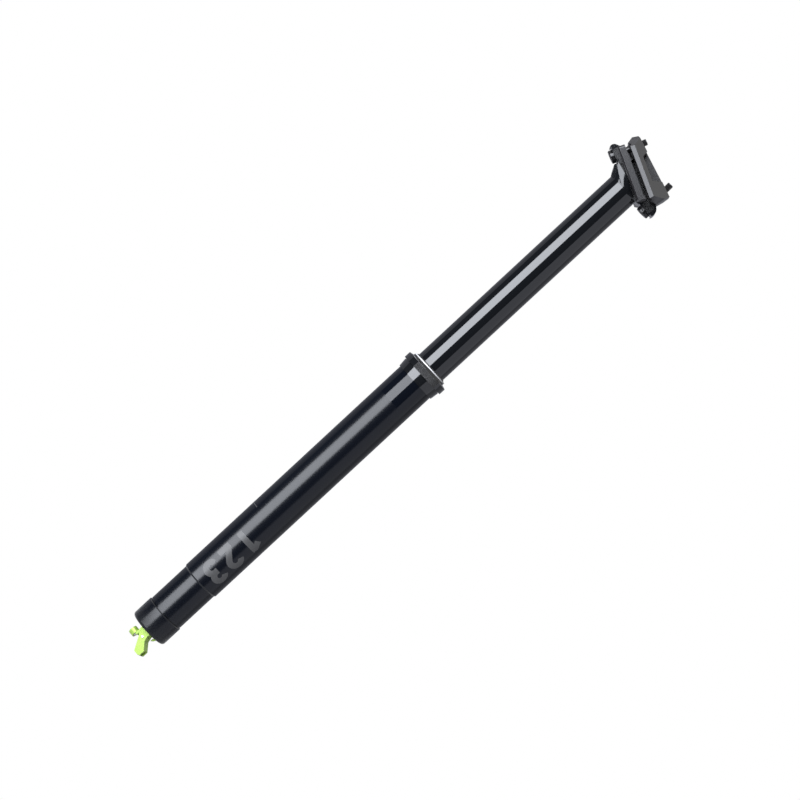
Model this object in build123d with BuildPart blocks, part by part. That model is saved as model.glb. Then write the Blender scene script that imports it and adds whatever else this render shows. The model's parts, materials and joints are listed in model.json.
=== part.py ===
from build123d import *
import os
from math import atan2, cos, degrees, radians, sin, tan

os.makedirs("parts", exist_ok=True)

# A dropper seatpost in millimetres. Z runs up the post, X points forward and Y to the left. The origin is on
# the post's axis where the collar meets the outer tube, which is how deep the post can go into a frame.

# Travel and the three telescoping tubes
travel_length = 180
head_clearance = 25
tube_r = 15.8
tube_wall = 1.9
insert_length = 212
relief_r = 15.0
relief_length = 34.3
relief_step = 1.2
stanchion_r = 12.8
stanchion_wall = 1.6
overlap = 56

# Fits and clearances
running_gap = 0.08
seat_gap = 0.05
press_gap = 0.02
swing_gap = 0.25
free_gap = 0.3
overrun = 1.0

# Collar and seals
collar_height = 14.2
collar_foot_r = 16.6
collar_skirt_r = 17.4
collar_skirt_height = 6.5
collar_groove = 0.5
collar_groove_r = 17.0
knurl_r = 18.6
pad_bevel_rise = 0.8
knurl_depth = 0.15
knurl_top = 12.2
collar_neck_r = 15.7
collar_lip_r = 15.0
thread_wall = 1.2
thread_height = 8.6
collar_pad_count = 3
collar_pad_angle = 50
collar_pad_clock = 98.5
o_ring_wire = 1.2
o_ring_room = 0.1
wiper_r = 14.5
wiper_depth = 1.6
wiper_lip_r = 13.3
wiper_lip_height = 1.7
wiper_ring_r = 15.1
wiper_ring_height = 0.8
wiper_ring_lift = 0.05

# Bushings and keys
upper_bushing_depth = 16
lower_bushing_length = 14
lower_bushing_lift = 20
bushing_split = 1.0
key_count = 3
key_clock = 90
key_width = 3.0
key_length = 14
key_lift = 3
key_sink = 0.9
keyway_depth = 0.6
keyway_play = 0.1

# Bottom cap
cap_r = 15.7
cap_length = 17.4
cap_rim_round = 2.2
cap_top_chamfer = 0.5
cap_spigot_length = 8.5
cap_seam = 1.0
cap_recess_r = 11.0
cap_recess_depth = 6.0

# Cartridge
shaft_r = 5.0
pin_r = 1.5
pin_head_r = 2.2
pin_head_height = 1.2
inner_tube_bore_r = 7.0
inner_tube_wall = 0.8
cartridge_r = 10.9
cartridge_wall = 1.2
seal_head_length = 12
top_cap_length = 9
piston_length = 10
piston_top_gap = 2.0
piston_ring_wire = 1.4
floater_length = 8
spring_wire = 0.5
spring_r = 2.0
spring_turns = 5
spring_length = 6.0
clip_width = 1.2
clip_depth = 0.4
clip_band = 2.2
clip_opening = 60
clip_lift = 1.6
bumper_r = 10.0
bumper_height = 2.0

# Head forging, whose seat is a hollow cylinder round the tilt axis
tilt_x = 3.2
tilt_z = 226.5
seat_r = 20.0
head_tilt = 14.8
head_spigot_length = 20
ear_width = 16
ear_r = 5.3
ear_flat = 3.0
neck_waist_rise = 4.0
neck_waist_long_r = 14.6
neck_top_rise = 16.0
neck_top_long_r = 20.0
neck_wide_r = 12.9
neck_shift = -0.8
rim_foot_rise = 0.9
rim_foot_r = 13.2
rim_middle_rise = 9.0
rim_middle_shift = -6.5
rim_middle_long_r = 18.0
rim_wide_r = 13.9
rim_top_rise = 17.0
rim_top_shift = -8.0
rim_top_long_r = 22.0
rim_knee_x = -4.6
rim_knee_rise = 1.1
rim_rear_x = -23.2
rim_rear_rise = 13.4

# Clamp bolts, each given by its washer's axis and its nut's axis
front_washer_x = 21.8
front_washer_z = 209.2
front_nut_x = 21.3
front_nut_z = 223.0
front_bolt_end = 23.7
front_tip_x = 23.3
front_tip_z = 208.4
front_tip_r = 5.7
rear_washer_x = -21.2
rear_washer_z = 220.1
rear_nut_x = -16.2
rear_nut_z = 234.2
rear_bolt_end = 22.6
rear_tip_x = -25.5
rear_tip_z = 220.1
rear_tip_r = 3.5
bolt_r = 2.5
bolt_thread_pitch = 0.8
bolt_thread_depth = 0.25
bolt_thread_length = 14
bolt_head_r = 5.0
bolt_head_height = 3.0
bolt_head_drop = 3.2
bolt_head_chamfer = 0.5
bolt_socket_width = 4.0
bolt_socket_depth = 2.0
washer_r = 4.3
washer_width = 15.6
nut_r = 3.7
nut_width = 15.6
bolt_slot_play = 0.9

# Saddle clamp, square to the rails
rail_x = -0.3
rail_z = 218.1
rail_tilt = 22.5
rail_r = 3.5
rail_spacing = 44
cradle_length = 43.6
cradle_shift = -1.0
cradle_width = 53
cradle_lip = 1.3
cradle_depth = 6.5
cradle_floor = 3.0
cradle_rake = 3.4
cradle_lip_width = 9.0
cradle_side_chamfer = 0.9
cradle_end_round = 2.0
belly_width = 16.4
cradle_notch = 12.0
clamp_width = 53
clamp_flank = 39
clamp_front = 24.6
clamp_rear = 27.1
clamp_end_width = 20
clamp_lip = 2.2
clamp_flank_foot = 5.0
clamp_flank_top = 5.4
clamp_waist = 6.8
clamp_top_front = 17.4
clamp_top_rear = 12.4
clamp_crown_width = 15
clamp_front_foot = 6.6
clamp_rear_lean = 3.4
clamp_underside_inset = 2.0
clamp_hollow_width = 31
clamp_hollow_length = 27
clamp_hollow_depth = 4.5
clamp_chin_depth = 6.4
clamp_tail_depth = 3.4
clamp_pocket_floor = 8.6
clamp_pocket_front = 8.4
clamp_pocket_rear = -10.3
clamp_pocket_flare = 2.8
spine_width = 12
tilt_up = 8
tilt_down = 1
front_swing_share = -0.2
rear_swing_share = -0.031

# Cable actuator, turned about the post so that its lever swings in its own plane
actuator_clock = -17
lever_reach = 17.1
lever_outline_shares = [
    (-0.222, 0.018),
    (-0.193, -0.181),
    (-0.082, -0.339),
    (0.035, -0.474),
    (0.322, -0.930),
    (0.374, -1.000),
    (0.600, -1.000),
    (0.672, -0.945),
    (0.672, -0.700),
    (0.560, -0.590),
    (0.363, -0.392),
    (0.304, -0.181),
    (0.304, 0.047),
]
lever_channel_shares = [
    (-0.526, 0.117),
    (0.251, 0.117),
    (0.251, -0.175),
    (0.292, -0.421),
    (0.439, -0.620),
    (0.175, -0.737),
    (-0.526, -0.737),
]
lever_edge_round = 0.5
lever_pivot_x = 2.6
lever_pivot_drop = 5.9
lever_channel_width = 6.0
lever_cheek = 1.2
lever_pin_r = 1.0
lever_pin_proud = 0.15
pusher_r = 1.1
pusher_drop = 3.0
lever_nose_gap = 0.3
cable_head_r = 2.3
cable_head_depth = 2.6
cable_head_x = 11.3
cable_head_drop = 14.1
cable_r = 0.9
housing_plate = 2.4
housing_tongue = 5.4
tongue_thickness = 1.3
housing_boss_r = 1.9
cage_rear = 8.2
cage_front = 2.1
cage_front_wall = 1.8
barrel_r = 3.4
ferrule_r = 2.5
ferrule_bore_r = 2.1
ferrule_drop = 8.5
ferrule_floor = 0.7
horn_r = 5.7
horn_thickness = 1.8
horn_x = 4.4
horn_tip_x = 7.2
horn_front = -2.6
horn_width = 1.6

# Heights and radii worked out from the values above
tube_bore_r = tube_r - tube_wall
relief_top = -insert_length
tube_foot = relief_top - relief_length
thread_r = tube_bore_r + thread_wall
exposed_stanchion = travel_length + head_clearance
stanchion_foot = -overlap
stanchion_bore_r = stanchion_r - stanchion_wall
bushing_inner_r = stanchion_r + running_gap
bushing_outer_r = tube_bore_r - seat_gap
cap_top = tube_foot - cap_seam
cap_foot = cap_top - cap_length
recess_roof = cap_foot + cap_recess_depth
spigot_top = tube_foot + cap_spigot_length - cap_seam
bumper_top = spigot_top + seat_gap + bumper_height
clip_foot = stanchion_foot + clip_lift
seal_head_foot = clip_foot + clip_width + seat_gap
seal_head_top = seal_head_foot + seal_head_length
piston_foot = seal_head_top + piston_top_gap
piston_top = piston_foot + piston_length
cartridge_top = exposed_stanchion - head_spigot_length - seat_gap
top_cap_foot = cartridge_top - top_cap_length
inner_tube_r = inner_tube_bore_r + inner_tube_wall
cartridge_bore_r = cartridge_r - cartridge_wall
pin_bore_r = pin_r + running_gap
pin_cavity_r = spring_r + spring_wire
pin_top = piston_foot
pusher_z = cap_foot - pusher_drop
pin_foot = pusher_z + pusher_r + lever_nose_gap


def ring(outer_r, inner_r, low, high):
    """Add a plain ring about the post's axis, from one height to another, to the piece in hand."""
    with BuildSketch(Plane.XY.offset(low)) as section:
        Circle(outer_r)
        Circle(inner_r, mode=Mode.SUBTRACT)
    extrude(section.sketch, amount=high - low)


def bore(radius, low, high):
    """Cut a round hole about the post's axis, from one height to another, in the piece in hand."""
    with BuildSketch(Plane.XY.offset(low)) as section:
        Circle(radius)
    extrude(section.sketch, amount=high - low, mode=Mode.SUBTRACT)


def turned(points, mode=Mode.ADD, angle=360, start=0):
    """Turn an outline of (radius, height) points about the post's axis."""
    with BuildSketch(Plane.XZ.rotated((0, 0, start))) as section:
        Polygon(*points, align=None)
    revolve(section.sketch, axis=Axis.Z, revolution_arc=angle, mode=mode)


def post_plane(angle, height):
    """Give a plane across the post, turned about its axis."""
    return Plane.XY.offset(height).rotated((0, 0, angle))


# Outer tube: a bore for the stanchion, three keyways, a turned-down foot and a threaded top
key_angles = [key_clock + 360 * turn / key_count for turn in range(key_count)]
keyway_r = tube_bore_r + keyway_depth
keyway_width = key_width + 2 * keyway_play
keyway_top = -upper_bushing_depth
tube_outline = [
    (tube_bore_r, tube_foot),
    (relief_r, tube_foot),
    (relief_r, relief_top - relief_step),
    (tube_r, relief_top),
    (tube_r, 0),
    (thread_r, 0),
    (thread_r, thread_height),
    (tube_bore_r, thread_height),
]
with BuildPart() as outer_tube:
    turned(tube_outline)
    for key_angle in key_angles:
        with BuildSketch(post_plane(key_angle, tube_foot)) as keyway:
            with Locations((tube_bore_r, 0)):
                Rectangle(2 * keyway_depth, keyway_width)
        extrude(keyway.sketch, amount=keyway_top - tube_foot, mode=Mode.SUBTRACT)
outer_tube.part.label = "outer_tube"
export_step(outer_tube.part, "parts/outer_tube.step")

# Bottom cap: a spigot in the tube's foot, a bore for the shaft and a recess for the actuator
cap_outline = [
    (shaft_r + seat_gap, recess_roof),
    (cap_recess_r, recess_roof),
    (cap_recess_r, cap_foot),
    (cap_r, cap_foot),
    (cap_r, cap_top - cap_top_chamfer),
    (cap_r - cap_top_chamfer, cap_top),
    (relief_r - cap_seam, cap_top),
    (relief_r - cap_seam, tube_foot),
    (tube_bore_r - seat_gap, tube_foot),
    (tube_bore_r - seat_gap, spigot_top),
    (shaft_r + seat_gap, spigot_top),
]
with BuildPart() as bottom_cap:
    turned(cap_outline)
    rim = bottom_cap.edges().filter_by(GeomType.CIRCLE).group_by(Axis.Z)[0].sort_by(SortBy.RADIUS)[-1]
    fillet(rim, cap_rim_round)
bottom_cap.part.label = "bottom_cap"
export_step(bottom_cap.part, "parts/bottom_cap.step")

# Collar: it screws onto the tube and holds the wiper seal, and has grip pads between stretches of knurl
groove_top = collar_skirt_height + collar_groove
knurl_root_r = knurl_r - knurl_depth
o_ring_roof = thread_height + o_ring_wire + o_ring_room
wiper_floor = collar_height - wiper_depth
collar_throat_r = stanchion_r + free_gap
collar_outline = [
    (thread_r + seat_gap, 0),
    (collar_foot_r, 0),
    (collar_skirt_r, collar_skirt_height),
    (collar_groove_r, collar_skirt_height),
    (collar_groove_r, groove_top),
    (knurl_root_r, groove_top),
    (knurl_root_r, knurl_top),
    (collar_neck_r, knurl_top),
    (collar_lip_r, collar_height),
    (wiper_r + seat_gap, collar_height),
    (wiper_r + seat_gap, wiper_floor),
    (collar_throat_r, wiper_floor),
    (collar_throat_r, o_ring_roof),
    (thread_r + seat_gap, o_ring_roof),
]
pad_outline = [
    (thread_r + seat_gap, groove_top),
    (knurl_r, groove_top),
    (knurl_r, knurl_top),
    (collar_neck_r, knurl_top + pad_bevel_rise),
    (thread_r + seat_gap, knurl_top),
]
with BuildPart() as collar:
    turned(collar_outline)
    for pad in range(collar_pad_count):
        pad_start = collar_pad_clock - collar_pad_angle / 2 + 360 * pad / collar_pad_count
        turned(pad_outline, angle=collar_pad_angle, start=pad_start)
collar.part.label = "collar"
export_step(collar.part, "parts/collar.step")

# O-ring between the tube's end and the collar's shoulder
with BuildPart() as collar_o_ring:
    with BuildSketch(Plane.XZ):
        with Locations(((tube_bore_r + thread_r) / 2, thread_height + (o_ring_wire + o_ring_room) / 2)):
            Circle(o_ring_wire / 2)
    revolve(axis=Axis.Z)
collar_o_ring.part.label = "collar_o_ring"
export_step(collar_o_ring.part, "parts/collar_o_ring.step")

# Wiper seal in the collar's mouth, with a lip that leans in to the stanchion
wiper_outline = [
    (bushing_inner_r, wiper_floor),
    (wiper_r, wiper_floor),
    (wiper_r, collar_height),
    (wiper_r - wiper_ring_lift, collar_height + wiper_ring_lift),
    (wiper_lip_r, collar_height + wiper_lip_height),
    (bushing_inner_r, collar_height + wiper_lip_height),
]
with BuildPart() as wiper_seal:
    turned(wiper_outline)
wiper_seal.part.label = "wiper_seal"
export_step(wiper_seal.part, "parts/wiper_seal.step")

# Bright ring round the wiper seal, on the collar's rim
with BuildPart() as wiper_ring:
    ring(wiper_ring_r, wiper_r + seat_gap, collar_height, collar_height + wiper_ring_height)
wiper_ring.part.label = "wiper_ring"
export_step(wiper_ring.part, "parts/wiper_ring.step")

# Upper bushing in the tube's mouth, split along one side
with BuildPart() as upper_bushing:
    ring(bushing_outer_r, bushing_inner_r, -upper_bushing_depth, thread_height)
    with BuildSketch(Plane.XY.offset(-upper_bushing_depth)):
        with Locations((tube_bore_r, 0)):
            Rectangle(2 * tube_wall, bushing_split)
    extrude(amount=upper_bushing_depth + thread_height, mode=Mode.SUBTRACT)
upper_bushing.part.label = "upper_bushing"
export_step(upper_bushing.part, "parts/upper_bushing.step")

# Stanchion, with pockets for the keys and a groove for the clip that holds the cartridge
key_foot = stanchion_foot + key_lift
key_pocket_r = stanchion_r - key_sink
with BuildPart() as stanchion:
    ring(stanchion_r, stanchion_bore_r, stanchion_foot, exposed_stanchion)
    for key_angle in key_angles:
        with BuildSketch(post_plane(key_angle, key_foot)) as pocket:
            with Locations((stanchion_r, 0)):
                Rectangle(2 * key_sink, key_width + 2 * press_gap)
        extrude(pocket.sketch, amount=key_length, mode=Mode.SUBTRACT)
    bore(stanchion_bore_r + clip_depth, clip_foot - press_gap, clip_foot + clip_width + press_gap)
stanchion.part.label = "stanchion"
export_step(stanchion.part, "parts/stanchion.step")

# Lower bushing on the stanchion's foot, open at the keyways
lower_bushing_foot = stanchion_foot + lower_bushing_lift
lower_bushing_top = lower_bushing_foot + lower_bushing_length
with BuildPart() as lower_bushing:
    ring(tube_bore_r - running_gap, stanchion_r + seat_gap, lower_bushing_foot, lower_bushing_top)
    with BuildSketch(Plane.XY.offset(lower_bushing_foot)):
        with Locations((-tube_bore_r, 0)):
            Rectangle(2 * tube_wall, bushing_split)
    extrude(amount=lower_bushing_length, mode=Mode.SUBTRACT)
lower_bushing.part.label = "lower_bushing"
export_step(lower_bushing.part, "parts/lower_bushing.step")

# Three guide keys, sunk in the stanchion and sliding in the tube's keyways
key_reach = keyway_r - running_gap - key_pocket_r
with BuildPart() as guide_keys:
    for key_angle in key_angles:
        with BuildSketch(post_plane(key_angle, key_foot)) as key:
            with Locations((key_pocket_r + key_reach / 2, 0)):
                Rectangle(key_reach, key_width)
        extrude(key.sketch, amount=key_length)
guide_keys.part.label = "guide_keys"
export_step(guide_keys.part, "parts/guide_keys.step")

# Cartridge outer tube, snug in the stanchion
with BuildPart() as cartridge_outer_tube:
    ring(cartridge_r, cartridge_bore_r, seal_head_foot, cartridge_top)
cartridge_outer_tube.part.label = "cartridge_outer_tube"
export_step(cartridge_outer_tube.part, "parts/cartridge_outer_tube.step")

# Cartridge inner tube, in which the piston runs
inner_tube_foot = seal_head_top - seal_head_length / 3
with BuildPart() as cartridge_inner_tube:
    ring(inner_tube_r, inner_tube_bore_r, inner_tube_foot, top_cap_foot)
cartridge_inner_tube.part.label = "cartridge_inner_tube"
export_step(cartridge_inner_tube.part, "parts/cartridge_inner_tube.step")

# Seal head that closes the cartridge's foot round the shaft
with BuildPart() as cartridge_seal_head:
    ring(cartridge_bore_r - press_gap, shaft_r + running_gap, seal_head_foot, seal_head_top)
    ring_cut_r = inner_tube_r + press_gap
    with BuildSketch(Plane.XY.offset(inner_tube_foot - press_gap)) as step:
        Circle(ring_cut_r)
        Circle(inner_tube_bore_r - press_gap, mode=Mode.SUBTRACT)
    extrude(step.sketch, amount=seal_head_length, mode=Mode.SUBTRACT)
cartridge_seal_head.part.label = "cartridge_seal_head"
export_step(cartridge_seal_head.part, "parts/cartridge_seal_head.step")

# Top cap that closes the cartridge under the head's spigot
with BuildPart() as cartridge_top_cap:
    ring(cartridge_bore_r - press_gap, pin_r, top_cap_foot + press_gap, cartridge_top)
cartridge_top_cap.part.label = "cartridge_top_cap"
export_step(cartridge_top_cap.part, "parts/cartridge_top_cap.step")

# Hollow shaft from the bottom cap to the piston
with BuildPart() as cartridge_shaft:
    ring(shaft_r, pin_bore_r, recess_roof, piston_foot)
cartridge_shaft.part.label = "cartridge_shaft"
export_step(cartridge_shaft.part, "parts/cartridge_shaft.step")

# Piston on the shaft's end, hollow for the valve spring, with a seal in a groove
piston_r = inner_tube_bore_r - running_gap
ring_groove_z = piston_foot + piston_length / 2
ring_groove_floor_r = piston_r - piston_ring_wire
spring_roof = piston_foot + pin_head_height + free_gap + spring_length
with BuildPart() as cartridge_piston:
    ring(piston_r, pin_cavity_r + free_gap, piston_foot, spring_roof)
    ring(piston_r, pin_r, spring_roof, piston_top)
    with BuildSketch(Plane.XY.offset(ring_groove_z - piston_ring_wire / 2)) as groove:
        Circle(piston_r + overrun)
        Circle(ring_groove_floor_r, mode=Mode.SUBTRACT)
    extrude(groove.sketch, amount=piston_ring_wire, mode=Mode.SUBTRACT)
cartridge_piston.part.label = "cartridge_piston"
export_step(cartridge_piston.part, "parts/cartridge_piston.step")

# Seal in the piston's groove
with BuildPart() as piston_seal:
    ring(
        piston_r,
        ring_groove_floor_r + press_gap,
        ring_groove_z - piston_ring_wire / 2 + press_gap,
        ring_groove_z + piston_ring_wire / 2 - press_gap,
    )
piston_seal.part.label = "piston_seal"
export_step(piston_seal.part, "parts/piston_seal.step")

# Floating piston between the two cartridge tubes, with oil above it and gas below
floater_top = top_cap_foot - free_gap
floater_foot = floater_top - floater_length
with BuildPart() as floating_piston:
    ring(cartridge_bore_r - running_gap, inner_tube_r + running_gap, floater_foot, floater_top)
floating_piston.part.label = "floating_piston"
export_step(floating_piston.part, "parts/floating_piston.step")

# Open clip in the stanchion's groove, under the cartridge
clip_outer_r = stanchion_bore_r + clip_depth - press_gap
with BuildPart() as retaining_clip:
    ring(clip_outer_r, clip_outer_r - clip_band, clip_foot, clip_foot + clip_width)
    with BuildSketch(Plane.XY.offset(clip_foot)):
        with BuildLine():
            gap_end = clip_outer_r + overrun
            half_gap = clip_opening / 2
            first = (gap_end * cos(radians(half_gap)), gap_end * sin(radians(half_gap)))
            second = (gap_end * cos(radians(half_gap)), -gap_end * sin(radians(half_gap)))
            Polyline((0, 0), first, (2 * gap_end, 0), second, close=True)
        make_face()
    extrude(amount=clip_width, mode=Mode.SUBTRACT)
retaining_clip.part.label = "retaining_clip"
export_step(retaining_clip.part, "parts/retaining_clip.step")

# Rubber bumper round the shaft that meets the stanchion's clip at the bottom of the travel
with BuildPart() as bottom_bumper:
    ring(bumper_r, shaft_r + seat_gap, spigot_top + seat_gap, bumper_top)
bottom_bumper.part.label = "bottom_bumper"
export_step(bottom_bumper.part, "parts/bottom_bumper.step")

# Valve pin through the shaft, with a head under the valve spring
with BuildPart() as valve_pin:
    with BuildSketch(Plane.XY.offset(pin_foot)):
        Circle(pin_r)
    extrude(amount=pin_top - pin_foot)
    with BuildSketch(Plane.XY.offset(pin_top + seat_gap)) as head_section:
        Circle(pin_head_r)
    extrude(head_section.sketch, amount=pin_head_height)
    with BuildSketch(Plane.XY.offset(pin_top)) as stem_section:
        Circle(pin_r)
    extrude(stem_section.sketch, amount=pin_head_height)
valve_pin.part.label = "valve_pin"
export_step(valve_pin.part, "parts/valve_pin.step")

# Valve spring between the pin's head and the piston's roof
spring_foot = pin_top + seat_gap + pin_head_height + spring_wire / 2 + seat_gap
spring_run = spring_roof - seat_gap - spring_wire / 2 - spring_foot
with BuildPart() as valve_spring:
    with BuildLine():
        Helix(spring_run / spring_turns, spring_run, spring_r, center=(0, 0, spring_foot))
    with BuildSketch(Plane(origin=(spring_r, 0, spring_foot), z_dir=(0, 1, 0))):
        Circle(spring_wire / 2)
    sweep(is_frenet=True)
valve_spring.part.label = "valve_spring"
export_step(valve_spring.part, "parts/valve_spring.step")


def tilted_side(x, z, angle):
    """Give a side plane at a point, turned nose down by an angle."""
    return Plane(origin=(x, 0, z), x_dir=(cos(radians(angle)), 0, -sin(radians(angle))), z_dir=(0, -1, 0))


def aimed(x, z, target_x, target_z):
    """Give a plane across the line from one point of the side view to another."""
    return Plane(origin=(x, 0, z), x_dir=(0, 1, 0), z_dir=(target_x - x, 0, target_z - z))


def lean(x, z, target_x, target_z):
    """Give how far the line between two points of the side view leans forward of the post, in degrees."""
    return degrees(atan2(target_x - x, target_z - z))


bolts = {
    "front": (front_washer_x, front_washer_z, front_nut_x, front_nut_z, front_bolt_end),
    "rear": (rear_washer_x, rear_washer_z, rear_nut_x, rear_nut_z, rear_bolt_end),
}
ear_tips = {
    "front": (front_tip_x, front_tip_z, front_tip_r),
    "rear": (rear_tip_x, rear_tip_z, rear_tip_r),
}

# Head forging: a flared neck with a rim and a web with two knuckles, cut for the cradle, washers and bolts
neck_foot = exposed_stanchion
plan_reach = 2 * (ear_r + seat_r)
clamp_side = tilted_side(rail_x, rail_z, rail_tilt)
belly_half = belly_width / 2
roof = -cradle_depth - free_gap
cradle_sweep = [
    (0, roof),
    (plan_reach, roof - plan_reach * tan(radians(tilt_down))),
    (plan_reach, plan_reach),
    (-plan_reach, plan_reach),
    (-plan_reach, roof - plan_reach * tan(radians(tilt_up))),
]
rim_outline = [
    (seat_r, neck_foot + rim_foot_rise),
    (rim_knee_x, neck_foot + rim_knee_rise),
    (rim_rear_x, neck_foot + rim_rear_rise),
    (rim_rear_x, neck_foot + seat_r),
    (seat_r, neck_foot + seat_r),
]
web_outline = [
    (stanchion_r, neck_foot),
    (front_washer_x, front_washer_z - ear_flat),
    (front_washer_x, front_washer_z + ear_r),
    (tilt_x, tilt_z - seat_r / 2),
    (rear_washer_x, rear_washer_z + ear_r),
    (rear_washer_x, rear_washer_z - ear_flat),
    (-neck_waist_long_r, neck_foot + neck_waist_rise),
    (-stanchion_r, neck_foot),
]
with BuildPart() as head_rim:
    with BuildSketch(Plane.XY.offset(neck_foot + rim_foot_rise)):
        Circle(rim_foot_r)
    with BuildSketch(Plane.XY.offset(neck_foot + rim_middle_rise)):
        with Locations((rim_middle_shift, 0)):
            Ellipse(rim_middle_long_r, rim_wide_r)
    with BuildSketch(Plane.XY.offset(neck_foot + rim_top_rise)):
        with Locations((rim_top_shift, 0)):
            Ellipse(rim_top_long_r, rim_wide_r)
    loft()
    with BuildSketch(Plane.XZ):
        Polygon(*rim_outline, align=None)
    extrude(amount=seat_r, both=True, mode=Mode.INTERSECT)
with BuildPart() as seatpost_head:
    with BuildSketch(Plane.XY.offset(neck_foot)):
        Circle(stanchion_r)
    with BuildSketch(Plane.XY.offset(neck_foot + neck_waist_rise)):
        with Locations((neck_shift, 0)):
            Ellipse(neck_waist_long_r, neck_wide_r)
    with BuildSketch(Plane.XY.offset(neck_foot + neck_top_rise)):
        Ellipse(neck_top_long_r, neck_wide_r)
    loft()
    add(head_rim.part)
    with BuildSketch(Plane.XZ):
        Polygon(*web_outline, align=None)
    extrude(amount=ear_width / 2, both=True)
    for end, (tip_x, tip_z, tip_r) in ear_tips.items():
        with BuildSketch(Plane.XZ) as ear:
            with Locations(bolts[end][:2]):
                Circle(ear_r)
            with Locations((tip_x, tip_z)):
                Circle(tip_r)
            make_hull()
        extrude(ear.sketch, amount=ear_width / 2, both=True)
    with BuildSketch(Plane.XY.offset(neck_foot)):
        Circle(stanchion_bore_r - press_gap)
    extrude(amount=-head_spigot_length)
    with BuildSketch(tilted_side(tilt_x, tilt_z, head_tilt)):
        Circle(seat_r)
    extrude(amount=belly_half + running_gap, both=True, mode=Mode.SUBTRACT)
    for flank in (-1, 1):
        with BuildSketch(clamp_side.offset(flank * belly_half)):
            Polygon(*cradle_sweep, align=None)
        extrude(amount=flank * seat_r, mode=Mode.SUBTRACT)
    for washer_x, washer_z, nut_x, nut_z, bolt_end in bolts.values():
        across = aimed(washer_x, washer_z, nut_x, nut_z)
        with BuildSketch(Plane(origin=(washer_x, 0, washer_z), z_dir=(0, -1, 0))):
            Circle(washer_r + running_gap)
        extrude(amount=ear_width, both=True, mode=Mode.SUBTRACT)
        with BuildSketch(across.offset(-ear_flat)):
            Rectangle(2 * plan_reach, 2 * ear_r + 2 * overrun)
        extrude(amount=-2 * ear_r, mode=Mode.SUBTRACT)
        with BuildSketch(across):
            Circle(bolt_r + bolt_slot_play)
        extrude(amount=2 * ear_r, both=True, mode=Mode.SUBTRACT)
seatpost_head.part.label = "seatpost_head"
export_step(seatpost_head.part, "parts/seatpost_head.step")

# Rail cradle: two half grooves for the rails, a round belly in the head's seat and a notch for each bolt
rail_cross = Plane(origin=(rail_x, 0, rail_z), x_dir=(0, 1, 0), z_dir=clamp_side.x_dir)
clamp_plan = Plane(origin=(rail_x, 0, rail_z), x_dir=clamp_side.x_dir, z_dir=clamp_side.y_dir)
tilt_local = clamp_side.to_local_coords(Vector(tilt_x, 0, tilt_z))
belly_r = seat_r - free_gap
half_cradle = cradle_width / 2
cradle_foot = cradle_depth + overrun
cradle_front = cradle_shift + cradle_length / 2
cradle_rear = cradle_shift - cradle_length / 2
cradle_side = [
    (cradle_rear, -cradle_foot),
    (cradle_rear, overrun),
    (cradle_front, overrun),
    (cradle_front, -cradle_lip),
    (cradle_front - cradle_rake, -cradle_foot),
]
with BuildPart() as rail_cradle:
    with BuildSketch(rail_cross):
        with BuildLine():
            Polyline(
                (-half_cradle, -cradle_lip),
                (-half_cradle, -cradle_depth + cradle_side_chamfer),
                (-half_cradle + cradle_side_chamfer, -cradle_depth),
                (half_cradle - cradle_side_chamfer, -cradle_depth),
                (half_cradle, -cradle_depth + cradle_side_chamfer),
                (half_cradle, -cradle_lip),
                (half_cradle - cradle_lip_width, -cradle_lip),
                (half_cradle - cradle_lip_width, -cradle_floor),
                (-half_cradle + cradle_lip_width, -cradle_floor),
                (-half_cradle + cradle_lip_width, -cradle_lip),
                close=True,
            )
        make_face()
    extrude(amount=cradle_length, both=True)
    with BuildSketch(clamp_plan.offset(-cradle_foot)):
        with Locations((cradle_shift, 0)):
            RectangleRounded(cradle_length, cradle_width, cradle_end_round)
    extrude(amount=cradle_foot + overrun, mode=Mode.INTERSECT)
    with BuildSketch(clamp_side):
        Polygon(*cradle_side, align=None)
    extrude(amount=cradle_width, both=True, mode=Mode.INTERSECT)
    with BuildSketch(clamp_plan.offset(-cradle_foot)):
        for end in (-1, 1):
            with Locations((end * (cradle_notch + cradle_length / 2), 0)):
                Rectangle(cradle_length, ear_width + 2 * free_gap)
    extrude(amount=cradle_foot + overrun, mode=Mode.SUBTRACT)
    with BuildSketch(clamp_side):
        with Locations((tilt_local.X, tilt_local.Y)):
            Circle(belly_r)
        with Locations((0, -cradle_depth + cradle_side_chamfer + seat_r)):
            Rectangle(3 * seat_r, 2 * seat_r, mode=Mode.SUBTRACT)
    extrude(amount=belly_half, both=True)
    with BuildSketch(rail_cross):
        with GridLocations(rail_spacing, rail_spacing, 2, 1):
            Circle(rail_r)
    extrude(amount=cradle_length, both=True, mode=Mode.SUBTRACT)
rail_cradle.part.label = "rail_cradle"
export_step(rail_cradle.part, "parts/rail_cradle.step")

# Top clamp: an eight-sided plan with a high crown, a pocket on each flank and a trough for each nut
half_clamp = clamp_width / 2
half_end = clamp_end_width / 2
half_flank = clamp_flank / 2
clamp_rise = clamp_top_front - clamp_lip
top_plan = [
    (half_flank, half_clamp),
    (clamp_front, half_end),
    (clamp_front, -half_end),
    (half_flank, -half_clamp),
    (-half_flank, -half_clamp),
    (-clamp_rear, -half_end),
    (-clamp_rear, half_end),
    (-half_flank, half_clamp),
]
top_side = [
    (-clamp_rear + clamp_rear_lean, clamp_lip),
    (-clamp_rear, clamp_waist),
    (-clamp_rear + clamp_lip / 2, clamp_top_rear - clamp_lip / 2),
    (-half_flank, clamp_top_rear),
    (clamp_front - clamp_lip, clamp_top_front),
    (clamp_front, clamp_front_foot),
    (half_flank + clamp_lip, clamp_lip),
]
top_cross = [
    (-half_clamp + clamp_underside_inset, 0),
    (half_clamp - clamp_underside_inset, 0),
    (half_clamp, clamp_flank_foot),
    (half_clamp, clamp_flank_top),
    (clamp_crown_width / 2, clamp_top_front),
    (-clamp_crown_width / 2, clamp_top_front),
    (-half_clamp, clamp_flank_top),
    (-half_clamp, clamp_flank_foot),
]
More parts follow.
